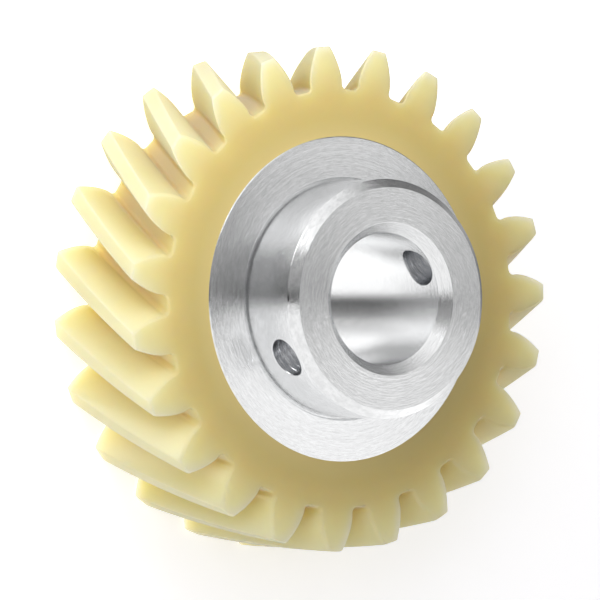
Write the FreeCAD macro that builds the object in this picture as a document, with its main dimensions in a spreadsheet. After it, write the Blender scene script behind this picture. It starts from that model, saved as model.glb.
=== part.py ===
import FreeCAD, Part
import math
import os
import Sketcher
from FreeCAD import Vector

# Worm wheel: a moulded nylon tooth ring on a turned aluminium hub.
# Frame: +Z is the wheel's axis, pointing out of the boss. z = 0 is the hub's
# back face, on which the wheel stands. +X runs along the cross hole.
# All lengths are in millimetres, angles in degrees.

doc = FreeCAD.newDocument("worm_wheel")

# ---------------------------------------------------------------- dimensions
sheet = doc.addObject("Spreadsheet::Sheet", "Dimensions")
DIMENSIONS = [
    # hub
    ("bore_dia", 12.7, "through bore for the shaft"),
    ("bore_chamfer", 1.0, "45 degree chamfer at both ends of the bore"),
    ("drum_dia", 31.6, "drum under the tooth ring, seen as the flange face"),
    ("drum_length", 14.3, "back face to flange face"),
    ("drum_chamfer", 0.25, "small edge break on both drum faces"),
    ("boss_dia", 23.0, "boss that stands out of the flange face"),
    ("hub_length", 22.0, "back face to boss face"),
    ("boss_chamfer", 0.82, "45 degree chamfer round the boss face"),
    ("boss_fillet", 0.25, "fillet where the boss meets the flange face"),
    ("cross_dia", 3.9, "cross hole through both walls of the boss"),
    ("cross_height", 18.8, "cross hole's axis above the back face"),
    ("groove_count", 24, "keying grooves round the drum"),
    ("groove_radius", 0.8, "round-bottomed groove, centred on the drum's surface"),
    ("groove_start", 3.0, "lower end of the grooves"),
    ("groove_length", 8.3, "length of the grooves"),
    # tooth ring
    ("teeth", 23, "number of teeth"),
    ("normal_module", 1.75, "module in the normal section"),
    ("helix_angle", 28.2, "right-hand helix at the pitch circle"),
    ("pressure_angle", 20.0, "in the normal section"),
    ("tooth_thickness", 3.16, "along the pitch circle, in the transverse section"),
    ("tip_dia", 49.1, "outside diameter"),
    ("root_dia", 40.76, "diameter at the bottom of the tooth gaps"),
    ("tip_round", 0.25, "rounding of the crest's edges"),
    ("root_round", 0.5, "fillet at the foot of each flank"),
    ("end_round", 0.15, "rounding of the teeth's end edges"),
    ("ring_width", 14.0, "face width"),
    ("ring_bottom", 0.2, "ring's back face above the hub's back face"),
    ("tooth_phase", 1.94, "angle of one tooth's centre at mid width"),
    ("core_dia", 28.0, "helper that hollows the ring before the hub is cut from it"),
]
row = 1
for alias, value, note in DIMENSIONS:
    sheet.set("A%d" % row, alias)
    sheet.set("B%d" % row, repr(value))
    sheet.set("C%d" % row, note)
    sheet.setAlias("B%d" % row, alias)
    row += 1
doc.recompute()


def dim(alias):
    """Plain number from the sheet."""
    return float(sheet.get(alias))


def origin_feature(body, role):
    for feature in body.Origin.OriginFeatures:
        if feature.Role == role:
            return feature
    raise RuntimeError("no origin feature " + role)


def attach(sketch, body, role):
    sketch.AttachmentSupport = [(origin_feature(body, role), "")]
    sketch.MapMode = "FlatFace"


def polygon(sketch, corners):
    """Closed polygon, each corner placed by a pair of expressions."""
    first = sketch.GeometryCount
    count = len(corners)
    for i in range(count):
        a, b = corners[i], corners[(i + 1) % count]
        sketch.addGeometry(Part.LineSegment(Vector(a[0], a[1], 0), Vector(b[0], b[1], 0)), False)
    for i in range(count):
        sketch.addConstraint(Sketcher.Constraint(
            "Coincident", first + i, 2, first + (i + 1) % count, 1))
    for i, corner in enumerate(corners):
        for axis, kind in ((0, "DistanceX"), (1, "DistanceY")):
            value = corner[axis]
            if abs(value) < 1e-9 and axis == 1:
                sketch.addConstraint(Sketcher.Constraint("PointOnObject", first + i, 1, -1))
                continue
            n = sketch.addConstraint(Sketcher.Constraint(kind, -1, 1, first + i, 1, value))
            sketch.setExpression("Constraints[%d]" % n, corner[2 + axis])


# ----------------------------------------------------------------------- hub
hub = doc.addObject("PartDesign::Body", "hub")
hub.Label = "hub"

D = "Dimensions."
bore_r, bore_c = dim("bore_dia") / 2, dim("bore_chamfer")
drum_r, drum_l, drum_c = dim("drum_dia") / 2, dim("drum_length"), dim("drum_chamfer")
boss_r, hub_l, boss_c = dim("boss_dia") / 2, dim("hub_length"), dim("boss_chamfer")

# turned half section, radius along the sketch's X and the axis along its Y
section = hub.newObject("Sketcher::SketchObject", "hub_section")
attach(section, hub, "XZ_Plane")
polygon(section, [
    (bore_r + bore_c, 0.0, D + "bore_dia / 2 + " + D + "bore_chamfer", "0"),
    (drum_r - drum_c, 0.0, D + "drum_dia / 2 - " + D + "drum_chamfer", "0"),
    (drum_r, drum_c, D + "drum_dia / 2", D + "drum_chamfer"),
    (drum_r, drum_l - drum_c, D + "drum_dia / 2", D + "drum_length - " + D + "drum_chamfer"),
    (drum_r - drum_c, drum_l, D + "drum_dia / 2 - " + D + "drum_chamfer", D + "drum_length"),
    (boss_r, drum_l, D + "boss_dia / 2", D + "drum_length"),
    (boss_r, hub_l - boss_c, D + "boss_dia / 2", D + "hub_length - " + D + "boss_chamfer"),
    (boss_r - boss_c, hub_l, D + "boss_dia / 2 - " + D + "boss_chamfer", D + "hub_length"),
    (bore_r + bore_c, hub_l, D + "bore_dia / 2 + " + D + "bore_chamfer", D + "hub_length"),
    (bore_r, hub_l - bore_c, D + "bore_dia / 2", D + "hub_length - " + D + "bore_chamfer"),
    (bore_r, bore_c, D + "bore_dia / 2", D + "bore_chamfer"),
])
doc.recompute()

turned = hub.newObject("PartDesign::Revolution", "hub_turned")
turned.Profile = section
turned.ReferenceAxis = (section, ["V_Axis"])
turned.Angle = 360
doc.recompute()

# fillet in the corner between boss and flange face
edge_name = None
for i, edge in enumerate(turned.Shape.Edges):
    curve = edge.Curve
    if (curve.TypeId == "Part::GeomCircle" and abs(curve.Radius - boss_r) < 1e-6
            and abs(curve.Center.z - drum_l) < 1e-6):
        edge_name = "Edge%d" % (i + 1)
fillet = hub.newObject("PartDesign::Fillet", "boss_foot_fillet")
fillet.Base = (turned, [edge_name])
fillet.setExpression("Radius", D + "boss_fillet")
doc.recompute()

# cross hole along X, through both walls of the boss
cross_sketch = hub.newObject("Sketcher::SketchObject", "cross_hole_section")
attach(cross_sketch, hub, "YZ_Plane")
cross_sketch.addGeometry(Part.Circle(Vector(0, dim("cross_height"), 0), Vector(0, 0, 1),
                                     dim("cross_dia") / 2), False)
cross_sketch.addConstraint(Sketcher.Constraint("PointOnObject", 0, 3, -2))
n = cross_sketch.addConstraint(Sketcher.Constraint("DistanceY", -1, 1, 0, 3, dim("cross_height")))
cross_sketch.setExpression("Constraints[%d]" % n, D + "cross_height")
n = cross_sketch.addConstraint(Sketcher.Constraint("Radius", 0, dim("cross_dia") / 2))
cross_sketch.setExpression("Constraints[%d]" % n, D + "cross_dia / 2")
doc.recompute()
before = hub.Shape.Volume
cross_hole = hub.newObject("PartDesign::Pocket", "cross_hole")
cross_hole.Profile = cross_sketch
cross_hole.SideType = "Symmetric"
cross_hole.Type = "Length"
cross_hole.setExpression("Length", D + "boss_dia + 10")
doc.recompute()
wall = boss_r - bore_r
drilled = before - cross_hole.Shape.Volume
if not 1.5 < drilled / (math.pi * (dim("cross_dia") / 2) ** 2 * wall) < 2.5:
    raise RuntimeError("cross hole cut %.1f mm3" % drilled)

# round-bottomed keying grooves in the drum, hidden under the tooth ring
groove_sketch = hub.newObject("Sketcher::SketchObject", "groove_section")
attach(groove_sketch, hub, "XY_Plane")
groove_sketch.setExpression("AttachmentOffset.Base.z", D + "groove_start")
groove_sketch.addGeometry(Part.Circle(Vector(drum_r, 0, 0), Vector(0, 0, 1),
                                      dim("groove_radius")), False)
groove_sketch.addConstraint(Sketcher.Constraint("PointOnObject", 0, 3, -1))
n = groove_sketch.addConstraint(Sketcher.Constraint("DistanceX", -1, 1, 0, 3, drum_r))
groove_sketch.setExpression("Constraints[%d]" % n, D + "drum_dia / 2")
n = groove_sketch.addConstraint(Sketcher.Constraint("Radius", 0, dim("groove_radius")))
groove_sketch.setExpression("Constraints[%d]" % n, D + "groove_radius")
doc.recompute()
before = cross_hole.Shape.Volume
groove = hub.newObject("PartDesign::Pocket", "groove")
groove.Profile = groove_sketch
groove.Type = "Length"
groove.Reversed = True
groove.setExpression("Length", D + "groove_length")
doc.recompute()
if before - groove.Shape.Volume < 1.0:
    raise RuntimeError("the groove cuts nothing")
grooves = hub.newObject("PartDesign::PolarPattern", "grooves")
grooves.Originals = [groove]
grooves.Axis = (origin_feature(hub, "Z_Axis"), [""])
grooves.Angle = 360
grooves.setExpression("Occurrences", D + "groove_count")
hub.Tip = grooves
doc.recompute()

# ---------------------------------------------------------------- tooth ring
# Transverse section of an involute gear, carried up a right-hand screw.
count = int(dim("teeth"))
beta = math.radians(dim("helix_angle"))
module_t = dim("normal_module") / math.cos(beta)
pitch_r = count * module_t / 2
alpha_t = math.atan(math.tan(math.radians(dim("pressure_angle"))) / math.cos(beta))
base_r = pitch_r * math.cos(alpha_t)
tip_r, root_r = dim("tip_dia") / 2, dim("root_dia") / 2
tip_round, root_round = dim("tip_round"), dim("root_round")
width, bottom = dim("ring_width"), dim("ring_bottom")
twist = width * math.tan(beta) / pitch_r
# half angle of a tooth at the base circle
base_half = dim("tooth_thickness") / 2 / pitch_r + math.tan(alpha_t) - alpha_t
gap_half = math.pi / count


def polar(radius, angle):
    return Vector(radius * math.cos(angle), radius * math.sin(angle), 0)


def involute(roll):
    """Point of the flank on the tooth's positive side, tooth centred on angle 0."""
    return polar(base_r * math.hypot(1.0, roll), base_half - roll + math.atan(roll))


# crest corner: an arc of tip_round touching the flank and the tip circle
span = math.sqrt((tip_r - tip_round) ** 2 - base_r ** 2)
roll_end = (tip_round + span) / base_r
corner_angle = base_half - roll_end + math.atan(span / base_r)
corner = polar(tip_r - tip_round, corner_angle)
flank_end = involute(roll_end)
crest_end = polar(tip_r, corner_angle)
middle = (flank_end - corner) + (crest_end - corner)
corner_mid = corner + middle * (tip_round / middle.Length)
# foot: a radial line from the base circle, then an arc into the root circle
lean = math.asin(root_round / (root_r + root_round))
foot = polar(root_r + root_round, base_half + lean)
foot_top = polar(math.sqrt((root_r + root_round) ** 2 - root_round ** 2), base_half)
foot_end = polar(root_r, base_half + lean)
middle = (foot_top - foot) + (foot_end - foot)
foot_mid = foot + middle * (root_round / middle.Length)
flank_points = [involute(roll_end * k / 14.0) for k in range(15)]


def turn(point, angle):
    c, s = math.cos(angle), math.sin(angle)
    return Vector(point.x * c - point.y * s, point.x * s + point.y * c, bottom)


def mirrored(point):
    return Vector(point.x, -point.y, point.z)


edges = []
start = math.radians(dim("tooth_phase")) - twist / 2
for k in range(count):
    a = start + 2 * math.pi * k / count

    def arc(p, q, r):
        edges.append(Part.Arc(turn(p, a), turn(q, a), turn(r, a)).toShape())

    def line(p, q):
        edges.append(Part.LineSegment(turn(p, a), turn(q, a)).toShape())

    def curve(points):
        spline = Part.BSplineCurve()
        spline.interpolate([turn(p, a) for p in points])
        edges.append(spline.toShape())

    m = mirrored
    arc(m(foot_end), m(foot_mid), m(foot_top))
    line(m(foot_top), m(flank_points[0]))
    curve([m(p) for p in flank_points])
    arc(m(flank_end), m(corner_mid), m(crest_end))
    arc(m(crest_end), Vector(tip_r, 0, 0), crest_end)
    arc(crest_end, corner_mid, flank_end)
    curve(flank_points[::-1])
    line(flank_points[0], foot_top)
    arc(foot_top, foot_mid, foot_end)
    arc(foot_end, polar(root_r, gap_half), polar(root_r, 2 * gap_half - base_half - lean))
outline = Part.Wire(Part.__sortEdges__(edges))
face = Part.Face(outline)

# the same section at eight heights, each turned with the helix
sections = []
for k in range(8):
    wire = outline.copy()
    wire.rotate(Vector(0, 0, 0), Vector(0, 0, 1), math.degrees(twist) * k / 7)
    wire.translate(Vector(0, 0, width * k / 7))
    sections.append(wire)
solid = Part.makeLoft(sections, True, False)
if abs(solid.Volume / (face.Area * width) - 1) > 1e-3:
    raise RuntimeError("tooth ring volume %.2f, expected %.2f" % (solid.Volume, face.Area * width))

# the teeth's end edges are slightly rounded
ends = [e for e in solid.Edges
        if all(abs(v.Point.z - bottom) < 0.001 for v in e.Vertexes)
        or all(abs(v.Point.z - bottom - width) < 0.001 for v in e.Vertexes)]
if len(ends) != 2 * len(outline.Edges):
    raise RuntimeError("%d end edges" % len(ends))
rounded = solid.makeFillet(dim("end_round"), ends)

rim = doc.addObject("Part::Feature", "toothed_disc")
rim.Shape = rounded
rim.Placement = FreeCAD.Placement()

core = doc.addObject("Part::Cylinder", "ring_core")
core.setExpression("Radius", D + "core_dia / 2")
core.setExpression("Height", D + "hub_length")
hollow = doc.addObject("Part::Cut", "toothed_ring")
hollow.Base = rim
hollow.Tool = core

# the ring is moulded round the drum, so the drum's own shape is its seat
gear_ring = doc.addObject("Part::Cut", "gear_ring")
gear_ring.Base = hollow
gear_ring.Tool = hub
gear_ring.Label = "gear_ring"
doc.recompute()

# -------------------------------------------------------------------- output
for obj in doc.Objects:
    if "Invalid" in obj.State or "Error" in obj.State:
        raise RuntimeError("%s failed: %s" % (obj.Name, obj.State))

SUBPARTS = [hub, gear_ring]
os.makedirs("parts", exist_ok=True)
for obj in SUBPARTS:
    shape = obj.Shape
    if shape.isNull() or not shape.isValid() or len(shape.Solids) != 1:
        raise RuntimeError("%s has a bad shape" % obj.Label)
for obj in SUBPARTS:
    shape = obj.Shape
    box = shape.BoundBox
    print("%-10s %9.2f mm3  x %.2f..%.2f  y %.2f..%.2f  z %.2f..%.2f  faces %d" % (
        obj.Label, shape.Volume, box.XMin, box.XMax, box.YMin, box.YMax, box.ZMin, box.ZMax,
        len(shape.Faces)))
    shape.exportStep("parts/%s.step" % obj.Label)
print("pitch radius %.3f, base radius %.3f, twist %.3f degrees" % (
    pitch_r, base_r, math.degrees(twist)))
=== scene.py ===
import bpy
import math
import random
from mathutils import Matrix, Vector, geometry


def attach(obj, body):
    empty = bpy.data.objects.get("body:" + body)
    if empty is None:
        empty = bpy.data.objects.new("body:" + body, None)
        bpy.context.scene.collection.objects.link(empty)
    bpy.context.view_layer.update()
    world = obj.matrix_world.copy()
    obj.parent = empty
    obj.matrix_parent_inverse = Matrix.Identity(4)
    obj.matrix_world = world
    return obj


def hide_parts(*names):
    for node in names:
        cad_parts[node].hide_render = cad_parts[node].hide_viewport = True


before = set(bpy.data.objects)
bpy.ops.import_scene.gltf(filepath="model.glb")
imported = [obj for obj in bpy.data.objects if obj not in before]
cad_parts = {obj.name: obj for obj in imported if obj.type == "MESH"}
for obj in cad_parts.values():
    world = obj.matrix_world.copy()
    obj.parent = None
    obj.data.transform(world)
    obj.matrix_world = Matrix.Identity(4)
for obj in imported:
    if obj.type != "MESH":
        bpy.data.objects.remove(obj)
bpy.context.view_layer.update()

# Worm wheel: a moulded nylon tooth ring on a turned aluminium hub.
# The row frame: +Z is the wheel's axis, out of the boss; z = 0 is the hub's
# back face, on which the wheel stands; +X runs along the cross hole.
MM = 0.001

# ------------------------------------------------------------------ dimensions
BORE_R, BORE_C = 6.35, 1.0
DRUM_R, DRUM_L, DRUM_C = 15.8, 14.3, 0.12
BOSS_R, HUB_L, BOSS_C = 11.5, 22.0, 0.82
CROSS_R, CROSS_Z = 1.95, 18.8
TEETH = 23
BETA = math.radians(28.2)
PITCH_R = TEETH * 1.75 / math.cos(BETA) / 2
ALPHA_T = math.atan(math.tan(math.radians(20.0)) / math.cos(BETA))
BASE_R = PITCH_R * math.cos(ALPHA_T)
TIP_R, ROOT_R = 24.55, 20.38
TIP_ROUND, ROOT_ROUND = 0.25, 0.5
WIDTH, BOTTOM = 14.0, 0.2
PHASE = math.radians(1.94)
END_ROUND, END_DEPTH = 0.22, 0.36        # soft edge of the tooth ends, across and along the axis
TWIST = WIDTH * math.tan(BETA) / PITCH_R


# ------------------------------------------------------------------ mesh maker
class Skin:
    """Collects faces whose corners carry exact normals. Corners at the same
    place share one vertex, so the piece is one closed mesh."""

    def __init__(self):
        self.places = {}
        self.points = []
        self.faces = []
        self.normals = []

    def vertex(self, p):
        key = (round(p[0] * 2e4), round(p[1] * 2e4), round(p[2] * 2e4))
        if key not in self.places:
            self.places[key] = len(self.points)
            self.points.append((p[0] * MM, p[1] * MM, p[2] * MM))
        return self.places[key]

    def face(self, corners):
        """corners: list of (place, normal), anticlockwise seen from outside."""
        indices, normals = [], []
        for p, n in corners:
            i = self.vertex(p)
            if i not in indices:
                indices.append(i)
                normals.append(n)
        if len(indices) < 3:
            return
        self.faces.append(indices)
        self.normals.extend(normals)

    def grid(self, rows, wrap=False, flip=False):
        """rows of (place, normal); neighbouring rows are joined by quads."""
        for a, b in zip(rows, rows[1:]):
            n = len(a)
            for i in range(n if wrap else n - 1):
                j = (i + 1) % n
                corners = [a[i], a[j], b[j], b[i]]
                self.face(corners[::-1] if flip else corners)

    def build(self, name):
        mesh = bpy.data.meshes.new(name)
        mesh.from_pydata(self.points, [], self.faces)
        mesh.update()
        mesh.polygons.foreach_set("use_smooth", [True] * len(mesh.polygons))
        mesh.normals_split_custom_set([Vector(n).normalized() for n in self.normals])
        obj = bpy.data.objects.new(name, mesh)
        bpy.context.scene.collection.objects.link(obj)
        return obj


def ring(r, z, nr, nz, count):
    """One circle of a turned surface, with its normal's radial and axial parts."""
    out = []
    for i in range(count):
        a = 2 * math.pi * i / count
        c, s = math.cos(a), math.sin(a)
        out.append(((r * c, r * s, z), (nr * c, nr * s, nz)))
    return out


def turned(skin, profile, count):
    """profile: list of (r, z, nr, nz) from one end to the other, with the
    solid on the left when walked. Quads join neighbours."""
    rows = [ring(*p, count) for p in profile]
    skin.grid(rows, wrap=True)


# ------------------------------------------------------------------------- hub
COUNT = 288
B = 0.05                                 # break on the turned corners


def corner(p, q, r, size=B, steps=3):
    """Small round at q between the straights p-q and q-r, as profile points."""
    pq = Vector((q[0] - p[0], q[1] - p[1])).normalized()
    qr = Vector((r[0] - q[0], r[1] - q[1])).normalized()
    n0 = Vector((pq[1], -pq[0]))
    n1 = Vector((qr[1], -qr[0]))
    turn = math.acos(max(-1.0, min(1.0, pq.dot(qr))))
    back = size * math.tan(turn / 2)
    a = Vector(q) - pq * back
    side = 1 if pq[0] * qr[1] - pq[1] * qr[0] > 0 else -1
    centre = a - n0 * size * side
    out = []
    for k in range(steps + 1):
        n = n0.slerp(n1, k / steps) if turn > 1e-4 else n0
        place = centre + n * size * side
        out.append((place[0], place[1], n[0], n[1]))
    return out


def tool_marks(p, q, pitch, lean, spread, seed):
    """Feed marks of the lathe on the straight from p to q of the profile: narrow
    rings, each leaning a little, cut into the surface and never above it.
    lean is in degrees, positive towards the end p."""
    rng = random.Random(seed)
    p, q = Vector(p), Vector(q)
    along = q - p
    length = along.length
    along.normalize()
    n = Vector((along[1], -along[0]))
    count = max(1, int(round(length / pitch)))
    cuts = [0.0]
    for k in range(1, count):
        cuts.append(length * (k + rng.uniform(-0.25, 0.25)) / count)
    cuts.append(length)
    out = []
    for a, b in zip(cuts, cuts[1:]):
        t = math.tan(math.radians(lean + rng.gauss(0, spread)))
        t = max(-0.3, min(0.3, t))
        drop_a, drop_b = (max(0.0, t) * (b - a), max(0.0, -t) * (b - a))
        m = (n - along * t).normalized()
        start, end = p + along * a - n * drop_a, p + along * b - n * drop_b
        riser(out, Vector(out[-1][:2]) if out else p, start)
        out.append((start[0], start[1], m[0], m[1]))
        out.append((end[0], end[1], m[0], m[1]))
    riser(out, end, q)
    return out


def riser(out, low, high):
    """Small step between two tool marks, with its own normals."""
    step_ = high - low
    if step_.length > 1e-4:
        step_.normalize()
        out.append((low[0], low[1], step_[1], -step_[0]))
        out.append((high[0], high[1], step_[1], -step_[0]))


hub = Skin()
# walked with the solid on the left: up the outside, in over the boss face and
# down the bore
Z_CYL0, Z_CYL1 = DRUM_L + 0.1, HUB_L - BOSS_C         # plain stretch of the boss
FOOT_W, FOOT_D = 0.3, 0.45                            # relief that the tool left at the boss's foot

outline = [(BORE_R, BORE_C), (BORE_R + BORE_C, 0), (DRUM_R - DRUM_C, 0), (DRUM_R, DRUM_C),
           (DRUM_R, DRUM_L - DRUM_C), (DRUM_R - DRUM_C, DRUM_L), (BOSS_R + FOOT_W, DRUM_L),
           (BOSS_R + FOOT_W * 0.6, DRUM_L - FOOT_D), (BOSS_R, DRUM_L - FOOT_D), (BOSS_R, Z_CYL0)]
outside = []
for i in range(1, 6):
    bend = corner(outline[i - 1], outline[i], outline[i + 1])
    if i == 2:                            # back face
        outside += tool_marks(outside[-1][:2], bend[0][:2], 0.17, 0.0, 1.6, 5)
    outside += bend
bend = corner(outline[5], outline[6], outline[7], 0.09, 4)
outside += tool_marks(outside[-1][:2], bend[0][:2], 0.12, 9.0, 1.0, 11)      # flange face
outside += bend
outside += corner(outline[6], outline[7], outline[8], 0.03, 2)
outside += corner(outline[7], outline[8], outline[9], 0.03, 2)
outside.append((BOSS_R, Z_CYL0, 1.0, 0.0))
turned(hub, outside, COUNT)

outline = [(BOSS_R, Z_CYL0), (BOSS_R, Z_CYL1), (BOSS_R - BOSS_C, HUB_L), (BORE_R + BORE_C, HUB_L),
           (BORE_R, HUB_L - BORE_C), (BORE_R, BORE_C)]
top = []
for i in range(1, 5):
    bend = corner(outline[i - 1], outline[i], outline[i + 1])
    if i == 3:                            # boss face
        top += tool_marks(top[-1][:2], bend[0][:2], 0.11, 2.0, 0.7, 23)
    top += bend
turned(hub, top, COUNT)

# the bore's lower corner, joined to the bottom chamfer's start
low = corner((BORE_R, HUB_L - BORE_C), (BORE_R, BORE_C), (BORE_R + BORE_C, 0))
turned(hub, low + [outside[0]], COUNT)

TOP_START, TOP_END = top[0][1], top[-1][1]            # z where the plain walls end
LOW_END = low[0][1]


def wall(radius, z0, z1, outward, name_break):
    """Plain cylinder wall with the two mouths of the cross hole left open, each
    inside a patch that fits the wall's own grid."""
    step = 2 * math.pi / COUNT
    half = int(math.ceil(math.asin(min(0.9, (CROSS_R + 0.9) / radius)) / step))
    sign = 1 if outward else -1

    def at(angle, z):
        c, s = math.cos(angle), math.sin(angle)
        return ((radius * c, radius * s, z), (sign * c, sign * s, 0.0))

    zs_n = 14
    zs = [z0 + (z1 - z0) * k / zs_n for k in range(zs_n + 1)]
    for mouth in (0, 1):
        first = mouth * COUNT // 2 + half
        last = (mouth + 1) * COUNT // 2 - half
        rows = [[at(step * i, z) for i in range(first, last + 1)] for z in zs]
        hub.grid(rows, flip=not outward)
    # the patches
    edge_r = CROSS_R + name_break
    rims = []
    for mouth in (0, 1):
        base = math.pi * mouth
        border = []
        n = 2 * half
        for i in range(n):
            border.append((-half + i, 0))
        for k in range(zs_n):
            border.append((half, k))
        for i in range(n):
            border.append((half - i, zs_n))
        for k in range(zs_n):
            border.append((-half, zs_n - k))
        outer_row, dirs = [], []
        for i, k in border:
            a, z = i * step, zs[k]
            outer_row.append((a, z))
            dirs.append(math.atan2(z - CROSS_Z, radius * math.sin(a)))
        levels = 7
        rows = []
        for lev in range(levels + 1):
            t = (lev / levels) ** 1.5
            row = []
            for (a, z), d in zip(outer_row, dirs):
                y0, zz0 = edge_r * math.cos(d), CROSS_Z + edge_r * math.sin(d)
                a0 = math.asin(y0 / radius)
                row.append(at(base + a0 + (a - a0) * t, zz0 + (z - zz0) * t))
            rows.append(row)
        # rows[0] is the rim, rows[-1] the patch's border; directions run
        # anticlockwise seen from outside the wall
        hub.grid(rows[::-1], wrap=True, flip=not outward)
        rims.append(dirs)
    return rims


BREAK = 0.12
outer_dirs = wall(BOSS_R, Z_CYL0, TOP_START, True, BREAK)
inner_dirs = wall(BORE_R, LOW_END, TOP_END, False, BREAK)


def hole_ring(side, radius, dirs, x_of, axial, radial):
    """One loop round the cross hole. axial is the normal's part along the hole
    (out of the boss), radial its part towards the hole's axis."""
    out = []
    for d in dirs:
        y, z = radius * math.cos(d), radius * math.sin(d)
        x = x_of(y)
        s = 1 if side == 0 else -1
        # seen from outside the wall the loop always runs anticlockwise
        out.append(((s * x, s * y, CROSS_Z + z),
                    (s * axial, -s * radial * math.cos(d), -radial * math.sin(d))))
    return out


for side in (0, 1):
    def outer_x(y):
        return math.sqrt(BOSS_R ** 2 - y * y)

    def inner_x(y):
        return math.sqrt(BORE_R ** 2 - y * y)

    d_out = outer_dirs[side]
    loops = []
    for k in range(5):
        f = math.radians(90 * k / 4)
        loops.append(hole_ring(side, CROSS_R + BREAK * (1 - math.sin(f)), d_out,
                               lambda y, f=f: outer_x(y) - BREAK * (1 - math.cos(f)),
                               math.cos(f), math.sin(f)))
    hub.grid(loops, wrap=True)
    # the drilled wall, resampled from the outer mouth's directions
    tube = []
    for k in range(9):
        t = k / 8
        tube.append(hole_ring(side, CROSS_R, d_out,
                              lambda y, t=t: (outer_x(y) - BREAK) * (1 - t) + (inner_x(y) + BREAK) * t,
                              0.0, 1.0))
    hub.grid(tube[:-1], wrap=True)
    # last stretch to the inner mouth, whose loop has its own directions
    d_in = inner_dirs[side]
    a_row = tube[-2]
    b_row = hole_ring(side, CROSS_R, d_in, lambda y: inner_x(y) + BREAK, 0.0, 1.0)
    da = sorted(range(len(d_out)), key=lambda i: d_out[i] % (2 * math.pi))
    db = sorted(range(len(d_in)), key=lambda i: d_in[i] % (2 * math.pi))
    i = j = 0
    na, nb = len(da), len(db)
    while i < na or j < nb:
        ang_a = d_out[da[i % na]] % (2 * math.pi) + 2 * math.pi * (i // na)
        ang_b = d_in[db[j % nb]] % (2 * math.pi) + 2 * math.pi * (j // nb)
        next_a = d_out[da[(i + 1) % na]] % (2 * math.pi) + 2 * math.pi * ((i + 1) // na)
        next_b = d_in[db[(j + 1) % nb]] % (2 * math.pi) + 2 * math.pi * ((j + 1) // nb)
        pa, pb = a_row[da[i % na]], b_row[db[j % nb]]
        if j >= nb or (i < na and next_a <= next_b):
            hub.face([pa, a_row[da[(i + 1) % na]], pb])
            i += 1
        else:
            hub.face([pa, b_row[db[(j + 1) % nb]], pb])
            j += 1
    loops = []
    for k in range(5):
        f = math.radians(90 * k / 4)
        loops.append(hole_ring(side, CROSS_R + BREAK * (1 - math.cos(f)), d_in,
                               lambda y, f=f: inner_x(y) + BREAK * (1 - math.sin(f)),
                               -math.sin(f), math.cos(f)))
    hub.grid(loops, wrap=True)

hub_piece = hub.build("hub_turned")

# ------------------------------------------------------------------- tooth ring
SPAN = math.sqrt((TIP_R - TIP_ROUND) ** 2 - BASE_R ** 2)
ROLL_END = (TIP_ROUND + SPAN) / BASE_R
BASE_HALF = 3.16 / 2 / PITCH_R + math.tan(ALPHA_T) - ALPHA_T
CORNER_A = BASE_HALF - ROLL_END + math.atan(SPAN / BASE_R)
LEAN = math.asin(ROOT_ROUND / (ROOT_R + ROOT_ROUND))
GAP_HALF = math.pi / TEETH


def half_tooth():
    """Outline from the middle of the crest to the middle of the gap, on the
    tooth's positive side: (place, outward normal) in the transverse plane."""
    pts = []
    for k in range(4):
        a = CORNER_A * k / 4
        pts.append((Vector((TIP_R * math.cos(a), TIP_R * math.sin(a))), Vector((math.cos(a), math.sin(a)))))
    c = Vector(((TIP_R - TIP_ROUND) * math.cos(CORNER_A), (TIP_R - TIP_ROUND) * math.sin(CORNER_A)))
    end_a = BASE_HALF - ROLL_END + math.pi / 2          # flank normal's direction at the end
    for k in range(6):
        a = CORNER_A + (end_a - CORNER_A) * k / 5
        n = Vector((math.cos(a), math.sin(a)))
        pts.append((c + n * TIP_ROUND, n))
    for k in range(1, 15):
        roll = ROLL_END * (1 - k / 14.0)
        r = BASE_R * math.hypot(1.0, roll)
        a = BASE_HALF - roll + math.atan(roll)
        nd = BASE_HALF - roll + math.pi / 2
        pts.append((Vector((r * math.cos(a), r * math.sin(a))), Vector((math.cos(nd), math.sin(nd)))))
    foot = Vector(((ROOT_R + ROOT_ROUND) * math.cos(BASE_HALF + LEAN), (ROOT_R + ROOT_ROUND) * math.sin(BASE_HALF + LEAN)))
    a0, a1 = BASE_HALF - math.pi / 2, BASE_HALF + LEAN - math.pi
    for k in range(7):
        a = a0 + (a1 - a0) * k / 6
        n = Vector((math.cos(a), math.sin(a)))
        pts.append((foot + n * ROOT_ROUND, -n))
    for k in range(1, 3):
        a = BASE_HALF + LEAN + (GAP_HALF - BASE_HALF - LEAN) * k / 3
        pts.append((Vector((ROOT_R * math.cos(a), ROOT_R * math.sin(a))), Vector((math.cos(a), math.sin(a)))))
    return pts


HALF = half_tooth()
OUTLINE = []
for t in range(TEETH):
    a = 2 * math.pi * t / TEETH
    rot = Matrix.Rotation(a, 2)
    tooth = [(Vector((p[0], -p[1])), Vector((n[0], -n[1]))) for p, n in HALF[:0:-1]] + HALF
    for p, n in tooth:
        OUTLINE.append((rot @ p, rot @ n))
    g = a + GAP_HALF
    OUTLINE.append((Vector((ROOT_R * math.cos(g), ROOT_R * math.sin(g))), Vector((math.cos(g), math.sin(g)))))


def section(z, inset=0.0, nz=0.0):
    """Outline at height z, drawn in by inset, with normals leaning by nz."""
    a = PHASE + TWIST * ((z - BOTTOM) / WIDTH - 0.5)
    rot = Matrix.Rotation(a, 2)
    lead = TWIST / WIDTH
    out = []
    side = math.sqrt(1 - nz * nz)
    for p, n in OUTLINE:
        q = rot @ (p - n * inset)
        m = rot @ n
        # helicoid: the flank's normal leans because the section turns with z
        tz = -lead * (m[1] * q[0] - m[0] * q[1])
        flank = Vector((m[0], m[1], tz)).normalized()
        v = flank * side + Vector((0, 0, nz))
        out.append(((q[0], q[1], z), tuple(v.normalized())))
    return out


ring_skin = Skin()
STEPS = 44
E, D = END_ROUND, END_DEPTH


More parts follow.
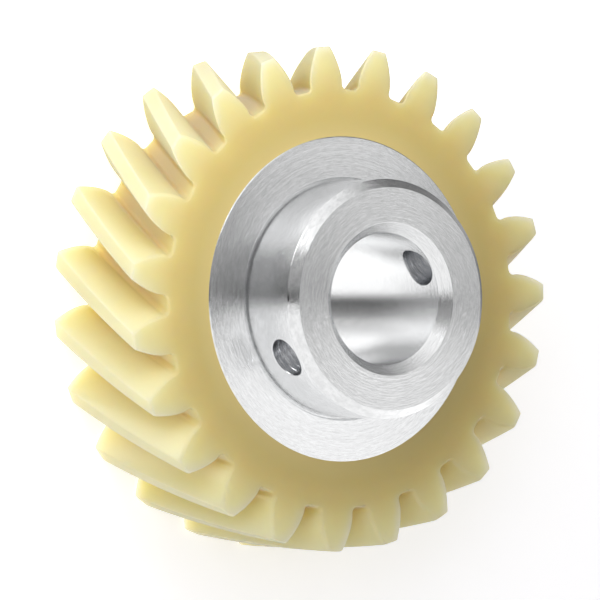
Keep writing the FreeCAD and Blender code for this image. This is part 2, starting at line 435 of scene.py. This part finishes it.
def end_row(f, up):
    """Section of the soft edge, f going from the end face (0) to the flank (90)."""
    c, s_ = math.cos(math.radians(f)), math.sin(math.radians(f))
    z = BOTTOM + WIDTH - D * (1 - c) if up else BOTTOM + D * (1 - c)
    nz = E * c / math.hypot(E * c, D * s_)
    return section(z, E * (1 - s_), nz if up else -nz)


rows = [end_row(90 * k / 6, False) for k in range(7)]
for k in range(1, STEPS):
    rows.append(section(BOTTOM + D + (WIDTH - 2 * D) * k / STEPS))
rows += [end_row(90 * k / 6, True) for k in range(6, -1, -1)]
ring_skin.grid(rows, wrap=True)

INNER_R = DRUM_R - 0.02
INNER_N = 360


def cap(row, z, up):
    """Flat end face between the tooth outline and the drum."""
    loops = [[Vector((p[0], p[1])) for p, _ in row]]
    n0 = len(loops[0])
    extra = []
    for r in (INNER_R, 16.05, 16.4, 17.4, 18.6, 19.7):
        m = INNER_N if r < 16.2 else 240
        extra.append([Vector((r * math.cos(2 * math.pi * i / m), r * math.sin(2 * math.pi * i / m))) for i in range(m)])
    verts = loops[0] + [v for e in extra for v in e]
    edges = [(i, (i + 1) % n0) for i in range(n0)]
    start = n0
    for e in extra:
        edges += [(start + i, start + (i + 1) % len(e)) for i in range(len(e))]
        start += len(e)
    result = geometry.delaunay_2d_cdt(verts, edges, [], 0, 1e-7)
    coords, _, faces = result[0], result[1], result[2]
    origin = result[3]
    n = (0, 0, 1 if up else -1)
    inside = Outline2D(loops[0])
    for f in faces:
        cx = sum(coords[i][0] for i in f) / len(f)
        cy = sum(coords[i][1] for i in f) / len(f)
        if math.hypot(cx, cy) < INNER_R * 0.9999 or not inside.holds(cx, cy):
            continue
        pts = []
        for i in f:
            src = origin[i]
            p = verts[src[0]] if src else coords[i]
            pts.append(((p[0], p[1], z), n))
        area = sum(pts[k][0][0] * pts[(k + 1) % len(pts)][0][1] - pts[(k + 1) % len(pts)][0][0] * pts[k][0][1]
                   for k in range(len(pts)))
        if (area > 0) != up:
            pts = pts[::-1]
        ring_skin.face(pts)


class Outline2D:
    """Point-in-outline test, with the outline's edges sorted by angle."""

    def __init__(self, loop):
        self.bins = {}
        n = len(loop)
        for i in range(n):
            a, b = loop[i], loop[(i + 1) % n]
            t0, t1 = math.atan2(a[1], a[0]), math.atan2(b[1], b[0])
            if abs(t0 - t1) > math.pi:
                t0, t1 = t0 % (2 * math.pi), t1 % (2 * math.pi)
            lo, hi = int(math.floor(min(t0, t1) * 60)), int(math.floor(max(t0, t1) * 60))
            for k in range(lo - 1, hi + 2):
                self.bins.setdefault(k % 377, []).append((a, b))

    def holds(self, x, y):
        """Counts the edges that the ray from the point straight outwards crosses."""
        r = math.hypot(x, y)
        ux, uy = x / r, y / r
        far = (ux * 40, uy * 40)
        crossings = 0
        k = int(math.floor(math.atan2(y, x) * 60)) % 377
        seen = set()
        for kk in (k - 1, k, k + 1):
            for a, b in self.bins.get(kk % 377, ()):
                key = (a[0], a[1], b[0], b[1])
                if key in seen:
                    continue
                seen.add(key)
                sa = ux * a[1] - uy * a[0]
                sb = ux * b[1] - uy * b[0]
                if (sa > 0) == (sb > 0):
                    continue
                t = sa / (sa - sb)
                px, py = a[0] + (b[0] - a[0]) * t, a[1] + (b[1] - a[1]) * t
                if px * ux + py * uy > r:
                    crossings += 1
        return crossings % 2 == 1


cap(rows[0], BOTTOM, False)
cap(rows[-1], BOTTOM + WIDTH, True)
inner = []
for k in range(11):
    z = BOTTOM + WIDTH * k / 10
    inner.append([((INNER_R * math.cos(2 * math.pi * i / INNER_N), INNER_R * math.sin(2 * math.pi * i / INNER_N), z),
                   (-math.cos(2 * math.pi * i / INNER_N), -math.sin(2 * math.pi * i / INNER_N), 0))
                  for i in range(INNER_N)])
ring_skin.grid(inner, wrap=True, flip=True)
ring_piece = ring_skin.build("tooth_ring")


# ------------------------------------------------------------------- materials
def new_material(name):
    m = bpy.data.materials.new(name)
    m.use_nodes = True
    nt = m.node_tree
    nt.nodes.clear()
    out = nt.nodes.new("ShaderNodeOutputMaterial")
    bsdf = nt.nodes.new("ShaderNodeBsdfPrincipled")
    nt.links.new(bsdf.outputs["BSDF"], out.inputs["Surface"])
    return m, nt, bsdf


def node(nt, kind, **values):
    n = nt.nodes.new(kind)
    for key, value in values.items():
        setattr(n, key, value)
    return n


def math_node(nt, op, a, b=None):
    n = node(nt, "ShaderNodeMath", operation=op)
    for i, v in enumerate((a, b)):
        if v is None:
            continue
        if isinstance(v, (int, float)):
            n.inputs[i].default_value = v
        else:
            nt.links.new(v, n.inputs[i])
    return n.outputs[0]


# turned aluminium
alu, nt, bsdf = new_material("turned_aluminium")
bsdf.inputs["Metallic"].default_value = 1.0
bsdf.inputs["Anisotropic"].default_value = 0.75
bsdf.inputs["Anisotropic Rotation"].default_value = 0.25
tangent = node(nt, "ShaderNodeTangent", direction_type="RADIAL", axis="Z")
nt.links.new(tangent.outputs[0], bsdf.inputs["Tangent"])
coords = node(nt, "ShaderNodeTexCoord")
xyz = node(nt, "ShaderNodeSeparateXYZ")
nt.links.new(coords.outputs["Object"], xyz.inputs[0])
x, y, z = xyz.outputs
radius = math_node(nt, "SQRT", math_node(nt, "ADD", math_node(nt, "MULTIPLY", x, x), math_node(nt, "MULTIPLY", y, y)))
# tool marks: a noise that varies along the turned profile only, so it runs in
# rings on the faces and round the boss
along = node(nt, "ShaderNodeCombineXYZ")
nt.links.new(math_node(nt, "MULTIPLY", radius, 1.0), along.inputs[0])
nt.links.new(math_node(nt, "MULTIPLY", z, 1.0), along.inputs[1])
marks = node(nt, "ShaderNodeTexNoise", noise_dimensions="2D")
marks.inputs["Scale"].default_value = 4200.0
marks.inputs["Detail"].default_value = 3.0
marks.inputs["Roughness"].default_value = 0.6
nt.links.new(along.outputs[0], marks.inputs["Vector"])
bump = node(nt, "ShaderNodeBump")
bump.inputs["Strength"].default_value = 0.12
bump.inputs["Distance"].default_value = 0.00006
nt.links.new(marks.outputs["Fac"], bump.inputs["Height"])
# short broken streaks along the marks, where the tool tore the metal
torn = node(nt, "ShaderNodeCombineXYZ")
nt.links.new(math_node(nt, "MULTIPLY", x, 1150.0), torn.inputs[0])
nt.links.new(math_node(nt, "MULTIPLY", y, 1150.0), torn.inputs[1])
nt.links.new(math_node(nt, "MULTIPLY", math_node(nt, "ADD", radius, math_node(nt, "MULTIPLY", z, 1.3)), 8200.0), torn.inputs[2])
streaks = node(nt, "ShaderNodeTexNoise")
streaks.inputs["Scale"].default_value = 1.0
streaks.inputs["Detail"].default_value = 4.0
streaks.inputs["Roughness"].default_value = 0.65
nt.links.new(torn.outputs[0], streaks.inputs["Vector"])
tear = node(nt, "ShaderNodeBump")
tear.inputs["Strength"].default_value = 0.34
tear.inputs["Distance"].default_value = 0.00006
nt.links.new(streaks.outputs["Fac"], tear.inputs["Height"])
nt.links.new(bump.outputs[0], tear.inputs["Normal"])
# the reamed bore is smoother than the turned faces
smooth = node(nt, "ShaderNodeMapRange", interpolation_type="SMOOTHSTEP")
smooth.inputs["From Min"].default_value = 0.0064
smooth.inputs["From Max"].default_value = 0.0066
smooth.inputs["To Min"].default_value = 0.06
smooth.inputs["To Max"].default_value = 0.24
nt.links.new(radius, smooth.inputs["Value"])
# so is the boss's wall, cut with a finer feed than the faces
on_wall = math_node(nt, "COMPARE", radius, BOSS_R * MM)
on_wall.node.inputs[2].default_value = 0.00012
wall_rough = node(nt, "ShaderNodeMix", data_type="FLOAT")
nt.links.new(on_wall, wall_rough.inputs[0])
nt.links.new(smooth.outputs["Result"], wall_rough.inputs[2])
wall_rough.inputs[3].default_value = 0.15
# the cross hole is rougher and marked in rings round its own axis, as the drill left it; its wall is also coloured
# darker, a painted shade inside the hole
dz = math_node(nt, "ADD", z, -CROSS_Z * MM)
hole_r = math_node(nt, "SQRT", math_node(nt, "ADD", math_node(nt, "MULTIPLY", y, y), math_node(nt, "MULTIPLY", dz, dz)))
in_cross_hole = node(nt, "ShaderNodeMapRange", interpolation_type="SMOOTHSTEP")
in_cross_hole.inputs["From Min"].default_value = (CROSS_R + 0.01) * MM
in_cross_hole.inputs["From Max"].default_value = (CROSS_R + 0.06) * MM
in_cross_hole.inputs["To Min"].default_value = 1.0
in_cross_hole.inputs["To Max"].default_value = 0.0
nt.links.new(hole_r, in_cross_hole.inputs["Value"])
rough = node(nt, "ShaderNodeMix", data_type="FLOAT")
nt.links.new(in_cross_hole.outputs["Result"], rough.inputs[0])
nt.links.new(wall_rough.outputs[0], rough.inputs[2])
rough.inputs[3].default_value = 0.22
nt.links.new(rough.outputs[0], bsdf.inputs["Roughness"])
# base colour: the metal's random tone, with painted shade inside the cross hole
tone_and_hole_shade = node(nt, "ShaderNodeMix", data_type="RGBA")
nt.links.new(in_cross_hole.outputs["Result"], tone_and_hole_shade.inputs[0])
patchy = node(nt, "ShaderNodeMapRange")
patchy.inputs["From Min"].default_value = 0.38
patchy.inputs["From Max"].default_value = 0.62
nt.links.new(streaks.outputs["Fac"], patchy.inputs["Value"])
bright = node(nt, "ShaderNodeMix", data_type="RGBA")
reamed = node(nt, "ShaderNodeMix", data_type="FLOAT")
turned_face = node(nt, "ShaderNodeMapRange")
turned_face.inputs["From Min"].default_value = 0.0064
turned_face.inputs["From Max"].default_value = 0.0066
nt.links.new(radius, turned_face.inputs["Value"])
nt.links.new(turned_face.outputs["Result"], reamed.inputs[0])
reamed.inputs[2].default_value = 0.55
nt.links.new(patchy.outputs["Result"], reamed.inputs[3])
nt.links.new(reamed.outputs[0], bright.inputs[0])
bright.inputs[6].default_value = (0.86, 0.865, 0.87, 1)
bright.inputs[7].default_value = (0.97, 0.975, 0.98, 1)
nt.links.new(bright.outputs[2], tone_and_hole_shade.inputs[6])
# painted shade: the darker colour of the cross hole's wall
tone_and_hole_shade.inputs[7].default_value = (0.68, 0.69, 0.71, 1)
nt.links.new(tone_and_hole_shade.outputs[2], bsdf.inputs["Base Color"])
drill = node(nt, "ShaderNodeTexNoise", noise_dimensions="1D")
drill.inputs["Scale"].default_value = 2600.0
drill.inputs["Detail"].default_value = 2.0
nt.links.new(x, drill.inputs["W"])
rings = node(nt, "ShaderNodeBump")
rings.inputs["Distance"].default_value = 0.0002
nt.links.new(math_node(nt, "MULTIPLY", in_cross_hole.outputs["Result"], 0.9), rings.inputs["Strength"])
nt.links.new(drill.outputs["Fac"], rings.inputs["Height"])
nt.links.new(tear.outputs[0], rings.inputs["Normal"])
nt.links.new(rings.outputs[0], bsdf.inputs["Normal"])

# natural nylon
nylon, nt, bsdf = new_material("natural_nylon")
bsdf.inputs["Roughness"].default_value = 0.27
bsdf.inputs["IOR"].default_value = 1.53
bsdf.inputs["Subsurface Radius"].default_value = (1.0, 0.82, 0.52)
bsdf.inputs["Subsurface Scale"].default_value = 0.007
coords = node(nt, "ShaderNodeTexCoord")
xyz = node(nt, "ShaderNodeSeparateXYZ")
nt.links.new(coords.outputs["Object"], xyz.inputs[0])
x, y, z = xyz.outputs
radius = math_node(nt, "SQRT", math_node(nt, "ADD", math_node(nt, "MULTIPLY", x, x), math_node(nt, "MULTIPLY", y, y)))
# the thin teeth are coloured paler than the thick ring: painted light, standing in for the brighter light and gloss on
# the thin teeth
ring_tone_and_painted_paling = node(nt, "ShaderNodeValToRGB")
span = node(nt, "ShaderNodeMapRange")
span.inputs["From Min"].default_value = 0.0158
span.inputs["From Max"].default_value = 0.0246
nt.links.new(radius, span.inputs["Value"])
nt.links.new(span.outputs["Result"], ring_tone_and_painted_paling.inputs["Fac"])
ramp = ring_tone_and_painted_paling.color_ramp
ramp.interpolation = "LINEAR"
# the paler stops at the teeth (0.75 and 1.0) are painted light; the stops nearer the drum are the ring's own colour
for place, colour in ((0.0, (0.76, 0.60, 0.215)), (0.2, (0.76, 0.60, 0.205)), (0.45, (0.765, 0.625, 0.24)),
                      (0.75, (0.83, 0.73, 0.37)), (1.0, (0.84, 0.755, 0.43))):
    stop = ramp.elements.new(place) if 0 < place < 1 else ramp.elements[0 if place == 0 else -1]
    stop.position = place
    stop.color = (*colour, 1)
nt.links.new(ring_tone_and_painted_paling.outputs["Color"], bsdf.inputs["Base Color"])
# next to the hub the metal behind it stops light from passing through
depth = node(nt, "ShaderNodeMapRange", interpolation_type="SMOOTHSTEP")
depth.inputs["From Min"].default_value = 0.0158
depth.inputs["From Max"].default_value = 0.0184
nt.links.new(radius, depth.inputs["Value"])
nt.links.new(depth.outputs["Result"], bsdf.inputs["Subsurface Weight"])
grain = node(nt, "ShaderNodeTexNoise")
grain.inputs["Scale"].default_value = 900.0
grain.inputs["Detail"].default_value = 4.0
nt.links.new(coords.outputs["Object"], grain.inputs["Vector"])
bump = node(nt, "ShaderNodeBump")
bump.inputs["Strength"].default_value = 0.08
bump.inputs["Distance"].default_value = 0.0001
nt.links.new(grain.outputs["Fac"], bump.inputs["Height"])
nt.links.new(bump.outputs[0], bsdf.inputs["Normal"])

ring_piece.visible_glossy = False        # the metal shows the studio only, grey as the real one looks
hub_piece.data.materials.append(alu)
ring_piece.data.materials.append(nylon)
for piece, cad, slot in ((hub_piece, "hub", "aluminium"), (ring_piece, "gear_ring", "nylon")):
    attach(piece, "root")
    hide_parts(cad)

# ------------------------------------------------------------------------ floor
# open under the shaft bore, so that light reaches the bore from both ends
mesh = bpy.data.meshes.new("floor")
FLOOR_N = 64
loops = [[(r * math.cos(2 * math.pi * i / FLOOR_N), r * math.sin(2 * math.pi * i / FLOOR_N), 0.0) for i in range(FLOOR_N)]
         for r in (0.0073, 3.0)]
mesh.from_pydata(loops[0] + loops[1], [], [(i, FLOOR_N + i, FLOOR_N + (i + 1) % FLOOR_N, (i + 1) % FLOOR_N) for i in range(FLOOR_N)])
floor = bpy.data.objects.new("floor", mesh)
bpy.context.scene.collection.objects.link(floor)
pale, nt, bsdf = new_material("pale_floor")
bsdf.inputs["Base Color"].default_value = (0.9, 0.9, 0.9, 1)
bsdf.inputs["Roughness"].default_value = 0.9
bsdf.inputs["Specular IOR Level"].default_value = 0.0
bsdf.inputs["Emission Color"].default_value = (1, 1, 1, 1)
bsdf.inputs["Emission Strength"].default_value = 0.62
mesh.materials.append(pale)
floor.visible_glossy = False

# ----------------------------------------------------------------------- camera
TURN = Matrix.Rotation(math.radians(-29.6), 3, "Z")
THETA = math.radians(35.195)
R = TURN @ Vector((-math.cos(THETA), 0, math.sin(THETA)))     # image right
U = TURN @ Vector((0, -1, 0))                                  # image up
Dv = TURN @ Vector((math.sin(THETA), 0, math.cos(THETA)))      # towards the camera
FOCAL = 4704.0                                                 # pixels, of a 600 pixel frame
pan, tilt = math.atan(44.77 / FOCAL), 1.12 / FOCAL
right = R * math.cos(pan) - Dv * math.sin(pan)
forward = -R * math.sin(pan) - Dv * math.cos(pan)
up = U * math.cos(tilt) + forward * math.sin(tilt)
forward = forward * math.cos(tilt) - U * math.sin(tilt)
cam_data = bpy.data.cameras.new("camera")
cam_data.sensor_width = 36.0
cam_data.lens = 36.0 * FOCAL / 600.0
cam_data.clip_start, cam_data.clip_end = 0.01, 20.0
cam = bpy.data.objects.new("camera", cam_data)
cam.matrix_world = Matrix((
    (right[0], up[0], -forward[0], 0),
    (right[1], up[1], -forward[1], 0),
    (right[2], up[2], -forward[2], 0),
    (0, 0, 0, 1)))
cam.location = Vector((0, 0, DRUM_L * MM)) + Dv * 0.45669
bpy.context.scene.collection.objects.link(cam)
bpy.context.scene.camera = cam

# ------------------------------------------------------------------------ light
# A studio round the wheel: a broad soft light above the camera, a white
# reflector below it, and between them the dim gap that the camera looks through.
world = bpy.data.worlds.new("studio")
bpy.context.scene.world = world
world.use_nodes = True
nt = world.node_tree
nt.nodes.clear()
out = nt.nodes.new("ShaderNodeOutputWorld")
bg = nt.nodes.new("ShaderNodeBackground")
nt.links.new(bg.outputs[0], out.inputs["Surface"])
coords = node(nt, "ShaderNodeTexCoord")


def part(axis):
    """Part of the direction along one of the picture's axes."""
    n = node(nt, "ShaderNodeVectorMath", operation="DOT_PRODUCT")
    nt.links.new(coords.outputs["Generated"], n.inputs[0])
    n.inputs[1].default_value = tuple(axis)
    return n.outputs["Value"]


def step(value, lo, hi):
    """0 below lo, 1 above hi, smooth between."""
    n = node(nt, "ShaderNodeMapRange", interpolation_type="SMOOTHSTEP")
    n.inputs["From Min"].default_value = lo
    n.inputs["From Max"].default_value = hi
    nt.links.new(value, n.inputs["Value"])
    return n.outputs["Result"]


pu, pr, pd = part(U), part(R), part(Dv)
left = math_node(nt, "MULTIPLY", pr, -1.0)
down = math_node(nt, "MULTIPLY", pu, -1.0)
back = math_node(nt, "MULTIPLY", pd, -1.0)
tilted = math_node(nt, "ADD", pu, math_node(nt, "MULTIPLY", math_node(nt, "MAXIMUM", pr, 0.0), 0.35))
corner_shade = math_node(nt, "MULTIPLY", step(pu, 0.6, 0.7), step(pr, 0.15, 0.35))
ahead = step(pd, -0.3, -0.05)


def without(value):
    return math_node(nt, "SUBTRACT", 1.0, value)


slope = node(nt, "ShaderNodeMapRange")
slope.inputs["From Min"].default_value = 0.02
slope.inputs["From Max"].default_value = 0.57
slope.inputs["To Min"].default_value = 0.0
slope.inputs["To Max"].default_value = 0.52
nt.links.new(pu, slope.inputs["Value"])
gleam = part(R * -0.66 + U * 0.66 + Dv * 0.36)
PATCHES = (
    (0.97, (step(tilted, 0.52, 0.61), ahead, without(corner_shade))),                # large soft light above
    (0.2, (step(tilted, 0.5, 0.6), ahead, without(step(pr, 0.0, 0.3)))),
    (0.65, (corner_shade, ahead)),
    (0.2, (step(pu, 0.16, 0.40), ahead, step(left, 0.12, 0.25))),
    (0.2, (step(pu, 0.04, 0.09), without(step(pu, 0.15, 0.22)), step(pd, 0.3, 0.5))),
    (0.28, (step(pu, 0.10, 0.17), without(step(tilted, 0.52, 0.61)), step(pd, 0.35, 0.6))),
    (1.1, (step(down, 0.04, 0.08), without(math_node(nt, "MULTIPLY", step(back, 0.68, 0.85), 0.52)),    # white reflector below
           without(math_node(nt, "MULTIPLY", step(pr, 0.7, 0.95), 0.22)))),
    (0.15, (step(down, 0.03, 0.06), step(back, 0.1, 0.5), without(step(back, 0.68, 0.85)))),
    (0.45, (step(pr, 0.68, 0.95), without(step(pu, 0.15, 0.3)))),
    (0.15, (step(back, 0.1, 0.5),)),
    (1.0, (slope.outputs["Result"], step(left, 0.3, 0.5), step(back, 0.2, 0.3))),
    (0.9, (step(pu, 0.36, 0.38), without(step(pu, 0.42, 0.44)), step(left, 0.76, 0.79), step(back, 0.2, 0.3))),
    (0.5, (step(pu, 0.05, 0.25), step(back, 0.75, 0.9))),
    (0.3, (step(pu, 0.32, 0.44), step(back, 0.35, 0.5), without(step(pr, -0.25, -0.1)))),
    (0.85, (step(pu, 0.50, 0.64), step(back, 0.0, 0.25), without(step(pr, -0.1, 0.15)))),
    (11.0, (step(gleam, 0.97, 0.985),)),                                              # small bright light at the upper left
)
total = 0.05
for strength, parts in PATCHES:
    patch = strength
    for value in parts:
        patch = math_node(nt, "MULTIPLY", value, patch)
    total = math_node(nt, "ADD", patch, total)
# seen straight by the camera, past the floor's edge, the studio is plain and pale
path = node(nt, "ShaderNodeLightPath")
plain = node(nt, "ShaderNodeMix", data_type="FLOAT")
nt.links.new(path.outputs["Is Camera Ray"], plain.inputs[0])
nt.links.new(total, plain.inputs[2])
plain.inputs[3].default_value = 0.95
nt.links.new(plain.outputs[0], bg.inputs["Strength"])
# the patches are for what is seen in the metal; the lamps below do the lighting
world.cycles_visibility.diffuse = False


def lamp(name, azimuth, elevation, distance, size, radiance, colour=(1.0, 1.0, 1.0)):
    """Round soft lamp aimed at the wheel. Azimuth as in the picture: 0 is image left, 90 is down."""
    a, e = math.radians(azimuth), math.radians(elevation)
    d = TURN @ Vector((math.cos(a) * math.cos(e), math.sin(a) * math.cos(e), math.sin(e)))
    data = bpy.data.lights.new(name, "AREA")
    data.shape = "DISK"
    data.size = size
    data.energy = radiance * math.pi * math.pi * size * size / 4
    data.color = colour
    obj = bpy.data.objects.new(name, data)
    obj.location = Vector((0, 0, DRUM_L * MM)) + d * distance
    obj.rotation_mode = "QUATERNION"
    obj.rotation_quaternion = d.to_track_quat("Z", "Y")
    obj.visible_camera = False
    obj.visible_glossy = False
    bpy.context.scene.collection.objects.link(obj)
    return obj


COOL = (0.98, 0.98, 1.10)
lamp("overhead", 0, 90, 1.6, 2.4, 0.31, (1.0, 0.94, 0.80))
for name, azimuth, elevation, radiance in (("left", 10, 14, 0.92), ("upper_left", 325, 14, 0.22), ("below", 120, 15, 0.03),
                                           ("right", 210, 18, 1.1), ("above", 265, 15, 0.34)):
    lamp("fill_" + name, azimuth, elevation, 1.5, 1.6, radiance, COOL)
# near enough that their light falls off across the wheel
lamp("key", 293, 41, 0.085, 0.09, 1.9, (0.99, 0.98, 1.06))
lamp("key_left", 345, 42, 0.078, 0.075, 1.58, COOL)

view = bpy.context.scene.view_settings
view.view_transform = "Standard"
view.look = "None"
view.exposure = 0.0
view.gamma = 1.0
